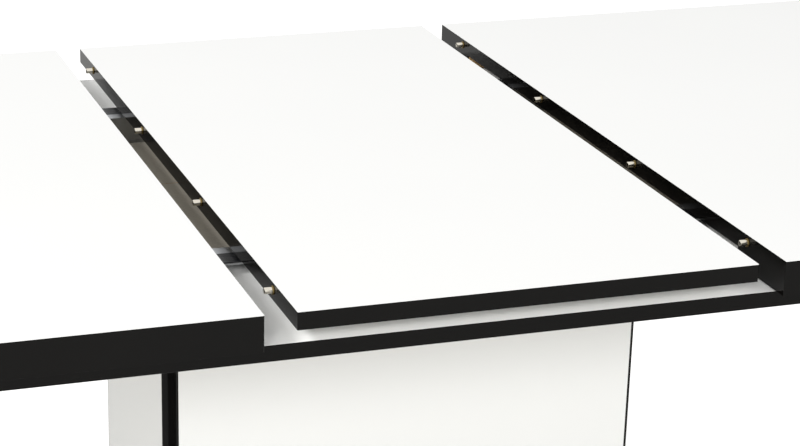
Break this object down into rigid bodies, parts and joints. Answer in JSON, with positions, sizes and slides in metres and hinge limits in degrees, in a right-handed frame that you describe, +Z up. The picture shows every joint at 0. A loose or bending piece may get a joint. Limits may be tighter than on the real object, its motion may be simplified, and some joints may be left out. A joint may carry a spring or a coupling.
{
  "type": "extending dining table",
  "caption": "Extending dining table on a box column, with two sliding halves of the top on guide rails and a loose leaf with pins laid between them.",
  "frame": {"origin": "on the floor, under the middle of the table as it stands pulled apart", "axes": "+X along the table towards the half whose pins face the leaf, -Y towards the front of the picture, +Z up"},
  "size_m": [2.097, 0.9, 0.76],
  "materials": {
    "white_board": "white high-gloss lacquer on both faces of the board",
    "inner_board": "plain melamine faces on boards inside the table",
    "black_edging": "black glossy edging",
    "aluminium": "extruded and matt",
    "black_glide": "smooth black plastic",
    "felt": "dark pressed felt",
    "nickel": "pale brass, turned and polished",
    "screw_steel": "zinc-plated steel",
    "beech": "plain beech",
    "foot_plastic": "black moulded plastic"
  },
  "bodies": {
    "base": {"deck_front_board": "white_board", "deck_back_board": "white_board", "deck_left_board": "white_board", "deck_right_board": "white_board", "deck_edge": "black_edging", "deck_dowels": "beech", "well_floor_front": "inner_board", "well_floor_back": "inner_board", "floor_screws": "screw_steel", "front_rail": "aluminium", "back_rail": "aluminium", "front_glide_strip": "black_glide", "back_glide_strip": "black_glide", "rail_screws": "screw_steel", "rail_stops": "black_glide", "top_plate": "inner_board", "plate_screws": "screw_steel", "column_left_panel": "white_board", "column_right_panel": "white_board", "column_front_panel": "white_board", "column_back_panel": "white_board", "side_panel_edge": "black_edging", "face_panel_edge": "black_edging", "column_ribs": "inner_board", "column_dowels": "beech", "cam_locks": "screw_steel", "cam_bolts": "screw_steel", "face_brackets": "screw_steel", "bracket_screws": "screw_steel", "plinth_board": "white_board", "plinth_long_strips": "white_board", "plinth_end_strips": "white_board", "plinth_edge": "black_edging", "plinth_glides": "foot_plastic", "plinth_screws": "screw_steel"},
    "left_top": {"left_top_board": "white_board", "left_top_edge": "black_edging", "left_front_strip": "white_board", "left_back_strip": "white_board", "left_end_strip": "white_board", "left_sliders": "black_glide", "left_slider_screws": "screw_steel", "left_sockets": "nickel"},
    "right_top": {"right_top_board": "white_board", "right_top_edge": "black_edging", "right_front_strip": "white_board", "right_back_strip": "white_board", "right_end_strip": "white_board", "right_sliders": "black_glide", "right_slider_screws": "screw_steel", "right_pins": "nickel"},
    "leaf": {"leaf_board": "white_board", "leaf_edge": "black_edging", "leaf_pins": "nickel", "leaf_sockets": "nickel", "leaf_pads": "felt"}
  },
  "joints": [
    {"name": "left_top_slide", "type": "slide", "parent": "base", "child": "left_top", "axis": [-1, 0, 0], "range_m": [-0.0293, 0.0415]},
    {"name": "right_top_slide", "type": "slide", "parent": "base", "child": "right_top", "axis": [1, 0, 0], "range_m": [-0.0273, 0.0375]},
    {"name": "leaf_lift", "type": "slide", "parent": "base", "child": "leaf", "axis": [0, 0, 1], "range_m": [0, 0.3]}
  ]
}
